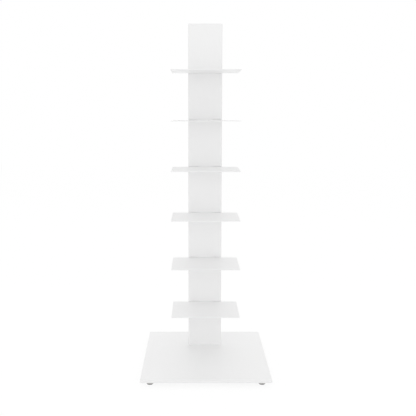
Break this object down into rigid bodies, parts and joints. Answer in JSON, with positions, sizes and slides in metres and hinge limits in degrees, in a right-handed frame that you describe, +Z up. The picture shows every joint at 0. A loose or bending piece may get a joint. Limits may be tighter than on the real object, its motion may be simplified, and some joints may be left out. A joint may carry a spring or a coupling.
{
  "type": "spine bookshelf",
  "caption": "Free-standing spine bookshelf: a slender folded steel column on a square plate, with small hooked steel shelves up its front and levelling feet.",
  "frame": {"origin": "on the floor, under the middle of the square base plate", "axes": "+Z up, the shelves face -Y, +X is to the right as seen from the front"},
  "size_m": [0.35, 0.35, 0.974],
  "materials": {
    "powder_coat": "white satin powder coat on sheet and plate steel",
    "nickel_plate": "nickel-plated turned steel",
    "zinc_plate": "zinc-plated steel fasteners",
    "pad_plastic": "dark grey moulded polyamide"
  },
  "bodies": {
    "frame": {"base_plate": "powder_coat", "foot_nuts": "powder_coat", "column": "powder_coat", "column_flange": "powder_coat", "column_screws": "zinc_plate"},
    "shelf_1_body": {"shelf_1": "powder_coat"},
    "shelf_2_body": {"shelf_2": "powder_coat"},
    "shelf_3_body": {"shelf_3": "powder_coat"},
    "shelf_4_body": {"shelf_4": "powder_coat"},
    "shelf_5_body": {"shelf_5": "powder_coat"},
    "shelf_6_body": {"shelf_6": "powder_coat"},
    "foot_front_left_sole": {"foot_front_left_pad": "pad_plastic"},
    "foot_front_left_screw": {"foot_front_left_disc": "nickel_plate", "foot_front_left_stud": "zinc_plate"},
    "foot_front_right_sole": {"foot_front_right_pad": "pad_plastic"},
    "foot_front_right_screw": {"foot_front_right_disc": "nickel_plate", "foot_front_right_stud": "zinc_plate"},
    "foot_rear_left_sole": {"foot_rear_left_pad": "pad_plastic"},
    "foot_rear_left_screw": {"foot_rear_left_disc": "nickel_plate", "foot_rear_left_stud": "zinc_plate"},
    "foot_rear_right_sole": {"foot_rear_right_pad": "pad_plastic"},
    "foot_rear_right_screw": {"foot_rear_right_disc": "nickel_plate", "foot_rear_right_stud": "zinc_plate"}
  },
  "joints": [
    {"name": "shelf_1_lift", "type": "hinge", "parent": "frame", "child": "shelf_1_body", "pos_m": [0, 0.06775, 0.15635], "axis": [-1, 0, 0], "range_deg": [0, 68]},
    {"name": "shelf_2_lift", "type": "hinge", "parent": "frame", "child": "shelf_2_body", "pos_m": [0, 0.06775, 0.29235], "axis": [-1, 0, 0], "range_deg": [0, 68]},
    {"name": "shelf_3_lift", "type": "hinge", "parent": "frame", "child": "shelf_3_body", "pos_m": [0, 0.06775, 0.42835], "axis": [-1, 0, 0], "range_deg": [0, 68]},
    {"name": "shelf_4_lift", "type": "hinge", "parent": "frame", "child": "shelf_4_body", "pos_m": [0, 0.06775, 0.56435], "axis": [-1, 0, 0], "range_deg": [0, 68]},
    {"name": "shelf_5_lift", "type": "hinge", "parent": "frame", "child": "shelf_5_body", "pos_m": [0, 0.06775, 0.70035], "axis": [-1, 0, 0], "range_deg": [0, 68]},
    {"name": "shelf_6_lift", "type": "hinge", "parent": "frame", "child": "shelf_6_body", "pos_m": [0, 0.06775, 0.83635], "axis": [-1, 0, 0], "range_deg": [0, 89]},
    {"name": "foot_front_left_level", "type": "slide", "parent": "frame", "child": "foot_front_left_sole", "axis": [0, 0, -1], "range_m": [0, 0.004]},
    {"name": "foot_front_left_turn", "type": "hinge", "parent": "foot_front_left_sole", "child": "foot_front_left_screw", "pos_m": [-0.15, -0.15, 0.008], "axis": [0, 0, -1], "range_deg": [0, 1440]},
    {"name": "foot_front_right_level", "type": "slide", "parent": "frame", "child": "foot_front_right_sole", "axis": [0, 0, -1], "range_m": [0, 0.004]},
    {"name": "foot_front_right_turn", "type": "hinge", "parent": "foot_front_right_sole", "child": "foot_front_right_screw", "pos_m": [0.15, -0.15, 0.008], "axis": [0, 0, -1], "range_deg": [0, 1440]},
    {"name": "foot_rear_left_level", "type": "slide", "parent": "frame", "child": "foot_rear_left_sole", "axis": [0, 0, -1], "range_m": [0, 0.004]},
    {"name": "foot_rear_left_turn", "type": "hinge", "parent": "foot_rear_left_sole", "child": "foot_rear_left_screw", "pos_m": [-0.15, 0.15, 0.008], "axis": [0, 0, -1], "range_deg": [0, 1440]},
    {"name": "foot_rear_right_level", "type": "slide", "parent": "frame", "child": "foot_rear_right_sole", "axis": [0, 0, -1], "range_m": [0, 0.004]},
    {"name": "foot_rear_right_turn", "type": "hinge", "parent": "foot_rear_right_sole", "child": "foot_rear_right_screw", "pos_m": [0.15, 0.15, 0.008], "axis": [0, 0, -1], "range_deg": [0, 1440]}
  ],
  "couplings": [
    {"joint": "foot_front_left_level", "follows": "foot_front_left_turn", "m_per_rad": 0.000159},
    {"joint": "foot_front_right_level", "follows": "foot_front_right_turn", "m_per_rad": 0.000159},
    {"joint": "foot_rear_left_level", "follows": "foot_rear_left_turn", "m_per_rad": 0.000159},
    {"joint": "foot_rear_right_level", "follows": "foot_rear_right_turn", "m_per_rad": 0.000159}
  ]
}
